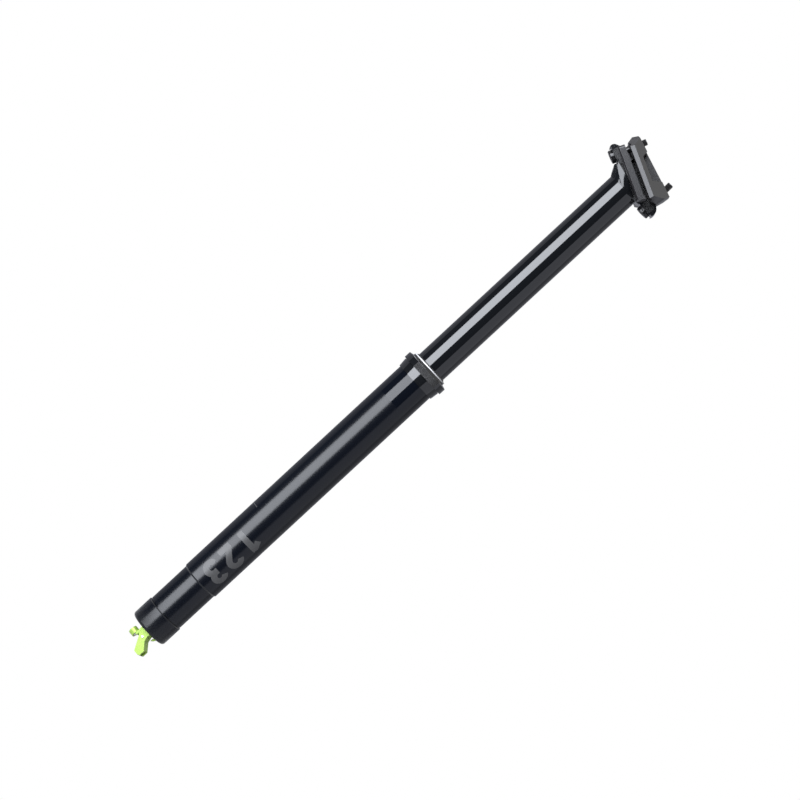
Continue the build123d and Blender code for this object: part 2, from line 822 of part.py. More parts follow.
pocket_outline = [
    (clamp_pocket_rear, clamp_pocket_floor),
    (clamp_pocket_front, clamp_pocket_floor),
    (clamp_pocket_front + clamp_pocket_flare, clamp_top_front),
    (clamp_pocket_front + clamp_pocket_flare, 2 * clamp_top_front),
    (clamp_pocket_rear - 2 * clamp_pocket_flare, 2 * clamp_top_front),
    (clamp_pocket_rear - 2 * clamp_pocket_flare, clamp_top_front),
]


def swing_slot(nut_x, nut_z, aim, swing_share):
    """Cut the slot that a bolt needs below and above its nut as the clamp tilts, in the piece in hand."""
    for way in (-1, 1):
        with BuildSketch(Plane(origin=(nut_x, 0, nut_z), x_dir=(1, 0, 0), z_dir=(0, -1, 0))) as fan:
            for tilt in (-tilt_up, tilt_down):
                with Locations(Location((0, 0, 0), (0, 0, -aim - (swing_share - 1) * tilt))):
                    with Locations((0, way * clamp_rise / 2)):
                        Rectangle(2 * bolt_slot_r, clamp_rise)
            make_hull()
        extrude(fan.sketch, amount=bolt_slot_r, both=True, mode=Mode.SUBTRACT)


bolt_slot_r = bolt_r + bolt_slot_play / 2
trough_r = nut_r + running_gap
trough_half = nut_width / 2 + seat_gap
swing_shares = {"front": front_swing_share, "rear": rear_swing_share}
with BuildPart() as top_clamp:
    with BuildSketch(clamp_plan):
        Polygon(*top_plan, align=None)
    extrude(amount=clamp_top_front + overrun)
    with BuildSketch(clamp_side):
        Polygon(*top_side, align=None)
    extrude(amount=clamp_width, both=True, mode=Mode.INTERSECT)
    with BuildSketch(rail_cross):
        Polygon(*top_cross, align=None)
    extrude(amount=2 * clamp_rear, both=True, mode=Mode.INTERSECT)
    for flank in (-1, 1):
        with BuildSketch(clamp_side.offset(flank * spine_width / 2)):
            Polygon(*pocket_outline, align=None)
        extrude(amount=flank * clamp_width, mode=Mode.SUBTRACT)
    with BuildSketch(clamp_plan.offset(-overrun)):
        Rectangle(clamp_hollow_length, clamp_hollow_width)
    extrude(amount=clamp_hollow_depth + overrun, mode=Mode.SUBTRACT)
    for end, end_depth in ((clamp_front, clamp_chin_depth), (-clamp_rear, clamp_tail_depth)):
        with BuildSketch(clamp_plan.offset(-overrun)):
            with Locations((end, 0)):
                Rectangle(2 * abs(end) - clamp_hollow_length, ear_width + 2 * free_gap)
        extrude(amount=end_depth + overrun, mode=Mode.SUBTRACT)
    with BuildSketch(rail_cross):
        with GridLocations(rail_spacing, rail_spacing, 2, 1):
            Circle(rail_r)
    extrude(amount=2 * clamp_rear, both=True, mode=Mode.SUBTRACT)
    for end, (washer_x, washer_z, nut_x, nut_z, bolt_end) in bolts.items():
        nut_place = clamp_side.to_local_coords(Vector(nut_x, 0, nut_z))
        with BuildSketch(clamp_side):
            with Locations((nut_place.X, nut_place.Y)):
                Circle(trough_r)
            with Locations((nut_place.X, nut_place.Y + clamp_rise / 2)):
                Rectangle(2 * trough_r, clamp_rise)
        extrude(amount=trough_half, both=True, mode=Mode.SUBTRACT)
        swing_slot(nut_x, nut_z, lean(washer_x, washer_z, nut_x, nut_z), swing_shares[end])
top_clamp.part.label = "top_clamp"
export_step(top_clamp.part, "parts/top_clamp.step")


def make_bolt(washer_x, washer_z, nut_x, nut_z, bolt_end):
    """Make a clamp bolt: a socket head below its washer and a shank with a ridged end."""
    across = aimed(washer_x, washer_z, nut_x, nut_z)
    lengthwise = Plane(origin=across.origin, x_dir=across.x_dir, z_dir=across.x_dir.cross(across.z_dir))
    head_foot = -bolt_head_drop - bolt_head_height
    ridges = int(bolt_thread_length / bolt_thread_pitch)
    outline = [
        (0, head_foot),
        (bolt_head_r - bolt_head_chamfer, head_foot),
        (bolt_head_r, head_foot + bolt_head_chamfer),
        (bolt_head_r, -bolt_head_drop),
        (bolt_r, -bolt_head_drop),
    ]
    for ridge in range(ridges, 0, -1):
        start = bolt_end - ridge * bolt_thread_pitch
        outline.append((bolt_r, start))
        outline.append((bolt_r - bolt_thread_depth, start + bolt_thread_pitch / 2))
    outline.append((bolt_r - bolt_thread_depth, bolt_end))
    outline.append((0, bolt_end))
    with BuildPart() as bolt:
        with BuildSketch(lengthwise) as section:
            Polygon(*outline, align=None)
        revolve(section.sketch, axis=Axis(across.origin, across.z_dir))
        with BuildSketch(across.offset(head_foot)) as socket:
            RegularPolygon(bolt_socket_width / 2, 6, major_radius=False)
        extrude(socket.sketch, amount=bolt_socket_depth, mode=Mode.SUBTRACT)
    return bolt


def make_washer(washer_x, washer_z, nut_x, nut_z, bolt_end):
    """Make a half-round washer, flat on the bolt's head and round in the ear."""
    across = aimed(washer_x, washer_z, nut_x, nut_z)
    lengthwise = Plane(origin=across.origin, x_dir=across.x_dir.cross(across.z_dir), z_dir=(0, -1, 0))
    with BuildPart() as washer:
        with BuildSketch(lengthwise) as round_face:
            Circle(washer_r)
        extrude(round_face.sketch, amount=washer_width / 2, both=True)
        with BuildSketch(across.offset(-bolt_head_drop)) as below:
            Rectangle(2 * washer_width, 2 * washer_width)
        extrude(below.sketch, amount=-washer_r, mode=Mode.SUBTRACT)
        with BuildSketch(across.offset(-washer_r)) as hole:
            Circle(bolt_r + seat_gap)
        extrude(hole.sketch, amount=2 * washer_r, mode=Mode.SUBTRACT)
    return washer


def make_nut(washer_x, washer_z, nut_x, nut_z, bolt_end):
    """Make a barrel nut across the clamp, drilled for its bolt."""
    across = aimed(nut_x, nut_z, 2 * nut_x - washer_x, 2 * nut_z - washer_z)
    with BuildPart() as nut:
        with BuildSketch(Plane(origin=across.origin, x_dir=(1, 0, 0), z_dir=(0, -1, 0))) as round_face:
            Circle(nut_r)
        extrude(round_face.sketch, amount=nut_width / 2, both=True)
        with BuildSketch(across.offset(-2 * nut_r)) as hole:
            Circle(bolt_r + swing_gap)
        extrude(hole.sketch, amount=4 * nut_r, mode=Mode.SUBTRACT)
    return nut


# Front clamp bolt, its washer and its nut
clamp_bolt_front = make_bolt(*bolts["front"])
clamp_bolt_front.part.label = "clamp_bolt_front"
export_step(clamp_bolt_front.part, "parts/clamp_bolt_front.step")
bolt_washer_front = make_washer(*bolts["front"])
bolt_washer_front.part.label = "bolt_washer_front"
export_step(bolt_washer_front.part, "parts/bolt_washer_front.step")
barrel_nut_front = make_nut(*bolts["front"])
barrel_nut_front.part.label = "barrel_nut_front"
export_step(barrel_nut_front.part, "parts/barrel_nut_front.step")

# Rear clamp bolt, its washer and its nut
clamp_bolt_rear = make_bolt(*bolts["rear"])
clamp_bolt_rear.part.label = "clamp_bolt_rear"
export_step(clamp_bolt_rear.part, "parts/clamp_bolt_rear.step")
bolt_washer_rear = make_washer(*bolts["rear"])
bolt_washer_rear.part.label = "bolt_washer_rear"
export_step(bolt_washer_rear.part, "parts/bolt_washer_rear.step")
barrel_nut_rear = make_nut(*bolts["rear"])
barrel_nut_rear.part.label = "barrel_nut_rear"
export_step(barrel_nut_rear.part, "parts/barrel_nut_rear.step")

# The actuator is drawn in its own side plane, with its heights measured from the cap's foot
turn_x = cos(radians(actuator_clock))
turn_y = sin(radians(actuator_clock))
lever_side = Plane(origin=(0, 0, cap_foot), x_dir=(turn_x, turn_y, 0), z_dir=(turn_y, -turn_x, 0))
lever_front = Plane(origin=(0, 0, cap_foot), x_dir=(-turn_y, turn_x, 0), z_dir=(turn_x, turn_y, 0))
lever_plan = post_plane(actuator_clock, cap_foot)
plate_under = cap_recess_depth - housing_plate
tongue_half = housing_tongue / 2
tongue_x = lever_pivot_x + tongue_thickness / 2
horn_side = horn_x + horn_r
channel_half = lever_channel_width / 2
lever_half = channel_half + lever_cheek

# Actuator housing: a plate in the cap's recess, a tongue for the lever, a cage for the ferrule and a horn
with BuildPart() as actuator_housing:
    with BuildSketch(lever_plan.offset(plate_under)):
        Circle(cap_recess_r - seat_gap)
    extrude(amount=housing_plate)
    with BuildSketch(lever_side):
        with Locations((lever_pivot_x, -lever_pivot_drop)):
            Circle(housing_boss_r)
        with Locations((tongue_x, (plate_under - lever_pivot_drop) / 2)):
            Rectangle(tongue_thickness, plate_under + lever_pivot_drop)
        with Locations((-cage_front - cage_front_wall / 2, (plate_under - ferrule_drop) / 2)):
            Rectangle(cage_front_wall, plate_under + ferrule_drop)
    extrude(amount=tongue_half, both=True)
    with BuildSketch(lever_front.offset(-cage_rear)):
        with Locations((0, -ferrule_drop)):
            Circle(barrel_r)
    extrude(amount=cage_rear - cage_front - cage_front_wall)
    with BuildSketch(Plane.XZ.offset(horn_front)):
        with Locations((horn_x, cap_foot)):
            Circle(horn_r)
            Circle(horn_r - horn_thickness, mode=Mode.SUBTRACT)
        with Locations(((horn_tip_x + horn_side) / 2, cap_foot - horn_r / 2)):
            Rectangle(horn_side - horn_tip_x, horn_r, mode=Mode.INTERSECT)
        with Locations((horn_side - horn_thickness / 2, cap_foot + plate_under / 2)):
            Rectangle(horn_thickness, plate_under)
    extrude(amount=-horn_width)
    with BuildSketch(lever_side):
        with Locations((lever_pivot_x, -lever_pivot_drop)):
            Circle(lever_pin_r + press_gap)
    extrude(amount=lever_half, both=True, mode=Mode.SUBTRACT)
    with BuildSketch(lever_front.offset(-cage_rear - overrun)):
        with Locations((0, -ferrule_drop)):
            Circle(ferrule_r + press_gap)
    extrude(amount=cage_rear - cage_front - cage_front_wall + overrun, mode=Mode.SUBTRACT)
    with BuildSketch(lever_front.offset(-cage_rear)):
        with Locations((0, -ferrule_drop)):
            Circle(cable_r)
    extrude(amount=cage_rear, mode=Mode.SUBTRACT)
    with BuildSketch(lever_plan):
        Circle(pin_bore_r)
    extrude(amount=cap_recess_depth + overrun, mode=Mode.SUBTRACT)
actuator_housing.part.label = "actuator_housing"
export_step(actuator_housing.part, "parts/actuator_housing.step")

# Ferrule in the cage, which takes the end of the cable's housing
ferrule_length = cage_rear - cage_front - cage_front_wall - press_gap
with BuildPart() as cable_ferrule:
    with BuildSketch(lever_front.offset(-cage_rear)):
        with Locations((0, -ferrule_drop)):
            Circle(ferrule_r)
    extrude(amount=ferrule_length)
    with BuildSketch(lever_front.offset(-cage_rear)):
        with Locations((0, -ferrule_drop)):
            Circle(ferrule_bore_r)
    extrude(amount=ferrule_length - ferrule_floor, mode=Mode.SUBTRACT)
    with BuildSketch(lever_front.offset(-cage_rear)):
        with Locations((0, -ferrule_drop)):
            Circle(cable_r)
    extrude(amount=ferrule_length, mode=Mode.SUBTRACT)
cable_ferrule.part.label = "cable_ferrule"
export_step(cable_ferrule.part, "parts/cable_ferrule.step")

# Lever: a channel that swings over the housing's tongue, with a bar under the valve pin and a cable seat
with BuildPart() as actuator_lever:
    with BuildSketch(lever_side):
        Polygon(*[(lever_reach * x, lever_reach * z) for x, z in lever_outline_shares], align=None)
        fillet(vertices(), lever_edge_round)
    extrude(amount=lever_half, both=True)
    with BuildSketch(lever_side):
        Polygon(*[(lever_reach * x, lever_reach * z) for x, z in lever_channel_shares], align=None)
    extrude(amount=channel_half, both=True, mode=Mode.SUBTRACT)
    with BuildSketch(lever_side):
        with Locations((0, -pusher_drop)):
            Circle(pusher_r)
    extrude(amount=channel_half + lever_cheek / 2, both=True)
    with BuildSketch(lever_side):
        with Locations((lever_pivot_x, -lever_pivot_drop)):
            Circle(lever_pin_r + running_gap)
    extrude(amount=lever_half, both=True, mode=Mode.SUBTRACT)
    with BuildSketch(lever_front.offset(cable_head_x - cable_head_depth)):
        with Locations((0, -cable_head_drop)):
            Circle(cable_head_r)
    extrude(amount=cable_head_depth + overrun, mode=Mode.SUBTRACT)
    with BuildSketch(lever_front):
        with Locations((0, -cable_head_drop)):
            Circle(cable_r)
    extrude(amount=cable_head_x, mode=Mode.SUBTRACT)
actuator_lever.part.label = "actuator_lever"
export_step(actuator_lever.part, "parts/actuator_lever.step")

# Pivot pin through the lever's cheeks and the tongue
with BuildPart() as lever_pivot_pin:
    with BuildSketch(lever_side):
        with Locations((lever_pivot_x, -lever_pivot_drop)):
            Circle(lever_pin_r)
    extrude(amount=lever_half + lever_pin_proud, both=True)
lever_pivot_pin.part.label = "lever_pivot_pin"
export_step(lever_pivot_pin.part, "parts/lever_pivot_pin.step")
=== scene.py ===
"""Looks of a dropper seatpost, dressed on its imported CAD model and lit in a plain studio.

Z runs up the post, X points forward and Y to the left. Lengths are in millimetres and angles in
degrees, unless a comment says otherwise. An azimuth is a turn about Z from -Y towards +X, so that
azimuth 0 faces the viewer.
"""

import json
import logging
import math
from dataclasses import dataclass, field
from enum import Enum

import bmesh
import bpy
import numpy as np
from mathutils import Matrix, Vector


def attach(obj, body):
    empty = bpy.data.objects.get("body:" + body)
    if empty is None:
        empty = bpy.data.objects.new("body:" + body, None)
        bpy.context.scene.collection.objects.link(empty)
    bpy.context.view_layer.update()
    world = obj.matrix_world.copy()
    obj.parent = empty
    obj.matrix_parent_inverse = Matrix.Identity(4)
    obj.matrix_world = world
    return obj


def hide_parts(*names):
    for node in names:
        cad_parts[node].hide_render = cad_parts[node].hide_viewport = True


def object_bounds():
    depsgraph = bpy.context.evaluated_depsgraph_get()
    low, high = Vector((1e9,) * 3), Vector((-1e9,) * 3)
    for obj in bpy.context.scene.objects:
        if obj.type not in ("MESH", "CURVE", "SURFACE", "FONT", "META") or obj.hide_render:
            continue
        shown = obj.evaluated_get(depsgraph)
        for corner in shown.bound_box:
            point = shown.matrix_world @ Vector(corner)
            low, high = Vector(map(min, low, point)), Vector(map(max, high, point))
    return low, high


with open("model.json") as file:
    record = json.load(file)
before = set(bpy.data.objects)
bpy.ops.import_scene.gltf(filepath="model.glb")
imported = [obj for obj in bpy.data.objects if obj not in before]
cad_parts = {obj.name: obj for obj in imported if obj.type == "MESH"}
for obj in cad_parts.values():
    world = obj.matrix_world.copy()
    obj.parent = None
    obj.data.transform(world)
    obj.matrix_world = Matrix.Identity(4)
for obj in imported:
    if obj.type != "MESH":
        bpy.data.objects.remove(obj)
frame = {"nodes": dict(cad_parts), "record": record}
cad_box = [list(corner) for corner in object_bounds()]

MM = 0.001
CAMERA_AZIMUTH = 3.0
AZIMUTH_OF_X = 90.0
log = logging.getLogger("seatpost")


class Grain(Enum):
    """How a finish's fine grain runs, as the noise's stretch along the object's X, Y and Z."""

    EVEN = (1.0, 1.0, 1.0)
    TURNED = (0.02, 0.02, 1.0)
    DRAWN = (1.0, 1.0, 0.02)


@dataclass(frozen=True)
class Finish:
    """A procedural finish with a grain in its colour, its gloss and its relief.

    The grain is a noise in object space. Its value, from 0 to 1, moves the colour between a shade
    below and a tint above the written one, moves the roughness the same way, and lifts the surface
    through a bump. The spreads are shares of the written colour and roughness. The grain size is
    that of the noise's lumps, and the bump height is how far the relief lifts.
    """

    name: str
    colour: tuple[float, float, float]
    roughness: float
    metallic: float = 0.0
    ior: float = 1.5
    grain: Grain = Grain.EVEN
    grain_size: float = 0.4
    grain_detail: float = 3.0
    tone_spread: float = 0.12
    gloss_spread: float = 0.12
    bump: float = 0.1
    bump_height: float = 0.004

    def shade(self, share: float) -> tuple[float, float, float, float]:
        """Give the colour raised by a share of itself, held to 1, with full opacity."""
        return (*[min(1.0, part * (1 + share)) for part in self.colour], 1.0)

    def noise(self, tree: bpy.types.NodeTree) -> bpy.types.NodeSocket:
        """Add the grain's noise, in object space.

        Args:
            tree: The material's node tree.

        Returns:
            The socket that gives the noise's value.
        """
        place = tree.nodes.new("ShaderNodeTexCoord")
        mapping = tree.nodes.new("ShaderNodeMapping")
        mapping.inputs["Scale"].default_value = self.grain.value
        texture = tree.nodes.new("ShaderNodeTexNoise")
        texture.inputs["Scale"].default_value = 1.0 / (self.grain_size * MM)
        texture.inputs["Detail"].default_value = self.grain_detail
        tree.links.new(place.outputs["Object"], mapping.inputs["Vector"])
        tree.links.new(mapping.outputs["Vector"], texture.inputs["Vector"])
        return texture.outputs["Fac"]

    def material(self) -> bpy.types.Material:
        """Build the finish as a material.

        Returns:
            The material.
        """
        material = bpy.data.materials.new(self.name)
        material.use_nodes = True
        nodes, links = material.node_tree.nodes, material.node_tree.links
        shader = nodes["Principled BSDF"]
        shader.inputs["Metallic"].default_value = self.metallic
        shader.inputs["IOR"].default_value = self.ior
        noise = self.noise(material.node_tree)
        tone = nodes.new("ShaderNodeMix")
        tone.data_type = "RGBA"
        tone.inputs["A"].default_value = self.shade(-self.tone_spread)
        tone.inputs["B"].default_value = self.shade(self.tone_spread)
        links.new(noise, tone.inputs["Factor"])
        links.new(tone.outputs["Result"], shader.inputs["Base Color"])
        gloss = nodes.new("ShaderNodeMapRange")
        gloss.inputs["To Min"].default_value = self.roughness * (1 - self.gloss_spread)
        gloss.inputs["To Max"].default_value = self.roughness * (1 + self.gloss_spread)
        links.new(noise, gloss.inputs["Value"])
        links.new(gloss.outputs["Result"], shader.inputs["Roughness"])
        relief = nodes.new("ShaderNodeBump")
        relief.inputs["Strength"].default_value = self.bump
        relief.inputs["Distance"].default_value = self.bump_height * MM
        links.new(noise, relief.inputs["Height"])
        links.new(relief.outputs["Normal"], shader.inputs["Normal"])
        return material


@dataclass(frozen=True)
class BandedFinish(Finish):
    """A satin finish that turns glossy above one height of the post, as the outer tube's does.

    The change begins one band edge under the band's foot and ends one band edge over it.
    """

    band_foot: float = -22.0
    band_roughness: float = 0.08
    band_edge: float = 0.15

    def material(self) -> bpy.types.Material:
        """Build the finish, which above the band's foot has its own roughness and no relief.

        Returns:
            The material.
        """
        material = super().material()
        nodes, links = material.node_tree.nodes, material.node_tree.links
        shader = nodes["Principled BSDF"]
        place = nodes.new("ShaderNodeTexCoord")
        axes = nodes.new("ShaderNodeSeparateXYZ")
        links.new(place.outputs["Object"], axes.inputs["Vector"])
        rise = nodes.new("ShaderNodeMapRange")
        rise.inputs["From Min"].default_value = (self.band_foot - self.band_edge) * MM
        rise.inputs["From Max"].default_value = (self.band_foot + self.band_edge) * MM
        links.new(axes.outputs["Z"], rise.inputs["Value"])
        gloss = nodes.new("ShaderNodeMix")
        satin = shader.inputs["Roughness"].links[0].from_socket
        gloss.inputs["B"].default_value = self.band_roughness
        links.new(rise.outputs["Result"], gloss.inputs["Factor"])
        links.new(satin, gloss.inputs["A"])
        links.new(gloss.outputs["Result"], shader.inputs["Roughness"])
        fade = nodes.new("ShaderNodeMapRange")
        fade.inputs["To Min"].default_value = self.bump
        fade.inputs["To Max"].default_value = 0.0
        links.new(rise.outputs["Result"], fade.inputs["Value"])
        relief = shader.inputs["Normal"].links[0].from_node
        links.new(fade.outputs["Result"], relief.inputs["Strength"])
        return material


GLOSS_BLACK = Finish(
    "gloss_black",
    (0.004, 0.0045, 0.0055),
    roughness=0.05,
    ior=1.6,
    grain=Grain.DRAWN,
    bump=0.05,
    bump_height=0.001,
)
SATIN_BLACK = BandedFinish(
    "satin_black",
    (0.0022, 0.003, 0.0052),
    roughness=0.22,
    ior=1.4,
    grain_size=0.3,
    bump=0.03,
    bump_height=0.001,
)
COLLAR_BLACK = Finish(
    "collar_black",
    (0.005, 0.0055, 0.0065),
    roughness=0.08,
    ior=1.6,
    grain=Grain.TURNED,
    bump=0.02,
    bump_height=0.001,
)
KNURL_BLACK = Finish(
    "knurl_black",
    (0.02, 0.02, 0.021),
    roughness=0.4,
    ior=1.45,
    grain_size=0.2,
    bump=0.05,
)
HEAD_BLACK = Finish(
    "head_black",
    (0.004, 0.0045, 0.0055),
    roughness=0.12,
    grain_size=0.8,
    bump=0.03,
    bump_height=0.003,
)
CLAMP_BLACK = Finish(
    "clamp_black",
    (0.009, 0.0085, 0.0098),
    roughness=0.3,
    grain_size=0.35,
    bump=0.01,
    bump_height=0.001,
)
BOLT_BLACK = Finish(
    "bolt_black",
    (0.006, 0.006, 0.0065),
    roughness=0.2,
    grain=Grain.TURNED,
    bump=0.02,
)
GREEN = Finish(
    "green_anodised",
    (0.31, 0.47, 0.08),
    roughness=0.4,
    metallic=0.3,
    grain_size=0.25,
    tone_spread=0.05,
    bump=0.06,
)
BRIGHT = Finish(
    "bright_metal",
    (0.78, 0.78, 0.79),
    roughness=0.18,
    metallic=1.0,
    grain=Grain.TURNED,
    tone_spread=0.05,
)
RING_SILVER = Finish(
    "ring_silver",
    (0.55, 0.55, 0.56),
    roughness=0.55,
    metallic=0.3,
    grain=Grain.TURNED,
    tone_spread=0.05,
)
MACHINED = Finish(
    "machined_aluminium",
    (0.72, 0.72, 0.74),
    roughness=0.3,
    metallic=1.0,
    grain=Grain.TURNED,
    bump=0.2,
)
BRASS = Finish(
    "key_brass",
    (0.76, 0.6, 0.3),
    roughness=0.3,
    metallic=1.0,
    grain=Grain.DRAWN,
    bump=0.15,
)
RUBBER = Finish("seal_rubber", (0.012, 0.012, 0.012), roughness=0.62, grain_size=0.3, bump=0.3)
BUSHING = Finish("bushing_plastic", (0.3, 0.3, 0.32), roughness=0.55, grain_size=0.5, bump=0.2)
PRINT = Finish(
    "grey_print",
    (0.042, 0.042, 0.043),
    roughness=0.42,
    grain_size=0.3,
    tone_spread=0.2,
    bump=0.15,
)

NODE_FINISHES = {
    SATIN_BLACK: ("outer_tube", "bottom_cap"),
    GLOSS_BLACK: ("stanchion",),
    COLLAR_BLACK: ("collar",),
    HEAD_BLACK: ("seatpost_head",),
    CLAMP_BLACK: ("rail_cradle", "top_clamp"),
    BOLT_BLACK: (
        "clamp_bolt_front",
        "clamp_bolt_rear",
        "bolt_washer_front",
        "bolt_washer_rear",
        "barrel_nut_front",
        "barrel_nut_rear",
        "retaining_clip",
        "valve_spring",
    ),
    GREEN: ("actuator_housing", "actuator_lever"),
    BRIGHT: ("lever_pivot_pin", "cable_ferrule", "cartridge_shaft", "valve_pin"),
    RING_SILVER: ("wiper_ring",),
    MACHINED: (
        "cartridge_outer_tube",
        "cartridge_inner_tube",
        "cartridge_seal_head",
        "cartridge_top_cap",
        "cartridge_piston",
        "floating_piston",
    ),
    BRASS: ("guide_keys",),
    RUBBER: ("wiper_seal", "collar_o_ring", "piston_seal", "bottom_bumper"),
    BUSHING: ("upper_bushing", "lower_bushing"),
}


class Wardrobe:
    """Keeps one material for each finish."""

    def __init__(self) -> None:
        """Start with no materials."""
        self.made: dict[str, bpy.types.Material] = {}

    def get(self, finish: Finish) -> bpy.types.Material:
        """Give a finish's material, built the first time it is asked for."""
        if finish.name not in self.made:
            self.made[finish.name] = finish.material()
        return self.made[finish.name]

    def dress(self, piece: bpy.types.Object, finish: Finish) -> None:
        """Put a finish on the whole of a piece."""
        piece.data.materials.clear()
        piece.data.materials.append(self.get(finish))

    def dress_nodes(self) -> None:
        """Put each CAD node's finish on it."""
        for finish, nodes in NODE_FINISHES.items():
            for node in nodes:
                for slot in frame["nodes"][node].material_slots:
                    slot.material = self.get(finish)
                log.info("node %s in %s", node, finish.name)


def add_mesh(
    name: str, points: np.ndarray, faces: np.ndarray, smooth: bool = True
) -> bpy.types.Object:
    """Put a mesh of quads into the scene, with its place in its vertices.

    Args:
        name: The piece's name.
        points: One row of X, Y and Z in metres for each vertex.
        faces: One row of four vertex numbers for each face.
        smooth: Whether the faces are shaded smooth.

    Returns:
        The new object.
    """
    mesh = bpy.data.meshes.new(name)
    mesh.from_pydata(points.tolist(), [], faces.tolist())
    mesh.polygons.foreach_set("use_smooth", np.full(len(faces), smooth))
    mesh.update()
    piece = bpy.data.objects.new(name, mesh)
    bpy.context.scene.collection.objects.link(piece)
    return piece


def grid_faces(rows: int, columns: int) -> np.ndarray:
    """Number the quads of a grid of points, row by row.

    Args:
        rows: How many rows of points there are.
        columns: How many points are in a row.

    Returns:
        One row of four vertex numbers for each quad.
    """
    row = np.arange(rows - 1)[:, None]
    column = np.arange(columns - 1)[None, :]
    near = row * columns + column
    far = near + columns
    return np.stack((near, far, far + 1, near + 1), axis=-1).reshape(-1, 4)


def joined(parts: list[tuple[np.ndarray, np.ndarray]]) -> tuple[np.ndarray, np.ndarray]:
    """Put several grids' points into one array and number their quads on from one to the next.

    Args:
        parts: The points and the quads of each grid.

    Returns:
        All points and all quads.
    """
    starts = np.cumsum([0] + [len(points) for points, _ in parts[:-1]])
    points = np.concatenate([points for points, _ in parts])
    faces = np.concatenate([faces + start for (_, faces), start in zip(parts, starts)])
    return points, faces


def on_post(radius: np.ndarray, azimuth: np.ndarray, height: np.ndarray) -> np.ndarray:
    """Place points by cylinder coordinates about the post.

    Args:
        radius: The distance from the axis.
        azimuth: The azimuth in radians.
        height: The height.

    Returns:
        The points in metres, with X, Y and Z along the last axis.
    """
    spots = (radius * np.sin(azimuth), -radius * np.cos(azimuth), height)
    return np.stack(np.broadcast_arrays(*spots), axis=-1) * MM


def level_direction(azimuth: float) -> Vector:
    """Give the level unit vector from the post's axis towards an azimuth."""
    turn = math.radians(azimuth)
    return Vector((math.sin(turn), -math.cos(turn), 0.0))


@dataclass
class KnurledBand:
    """The knurl between the collar's grip pads, as three stretches of small crossed ridges.

    The pads' angles run from +X towards +Y. The rim's fade is a share of the knurl's pitch.
    """

    root_r: float = 18.47
    crest_r: float = 18.72
    foot: float = 7.05
    top: float = 12.15
    pitch: float = 0.85
    rim_fade: float = 0.3
    ridge_power: float = 0.8
    pad_angles: tuple[float, ...] = (98.5, -141.5, -21.5)
    pad_spacing: float = 120.0
    pad_width: float = 50.0
    steps_across: int = 48
    steps_round: int = 160

    def ridges(self, along: np.ndarray) -> np.ndarray:
        """Give a triangle wave of the knurl's pitch, from 0 in its grooves to 1 on its ridges."""
        return np.abs(along / self.pitch % 1.0 - 0.5) * 2

    def stretch(self, start: float, end: float) -> tuple[np.ndarray, np.ndarray]:
        """Work out one stretch of knurl.

        The radius is the root radius plus the ridge height times the smaller of two triangle
        waves, one on each diagonal of the unrolled band, so that their crests make small pyramids.
        A power just under 1 swells the pyramids' sides. The radius falls to the root at the band's
        two rims.

        Args:
            start: The azimuth where the stretch begins.
            end: The azimuth where it ends.

        Returns:
            The points in metres and the quads.
        """
        azimuth = np.radians(np.linspace(start, end, self.steps_round))[:, None]
        height = np.linspace(self.foot, self.top, self.steps_across)[None, :]
        run = azimuth * self.crest_r
        pyramids = np.minimum(self.ridges(run + height), self.ridges(run - height))
        to_rim = np.minimum(height - self.foot, self.top - height)
        rim = np.minimum(1.0, to_rim / (self.rim_fade * self.pitch))
        depth = self.crest_r - self.root_r
        radius = self.root_r + depth * pyramids**self.ridge_power * rim
        points = on_post(radius, azimuth, height)
        return points.reshape(-1, 3), grid_faces(self.steps_round, self.steps_across)

    def build(self, wardrobe: Wardrobe) -> bpy.types.Object:
        """Build the three stretches as one piece on the collar's body."""
        parts = []
        for pad in self.pad_angles:
            start = pad + self.pad_width / 2 + AZIMUTH_OF_X
            parts.append(self.stretch(start, start + self.pad_spacing - self.pad_width))
        band = add_mesh("collar_knurl", *joined(parts), smooth=False)
        wardrobe.dress(band, KNURL_BLACK)
        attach(band, "outer")
        return band


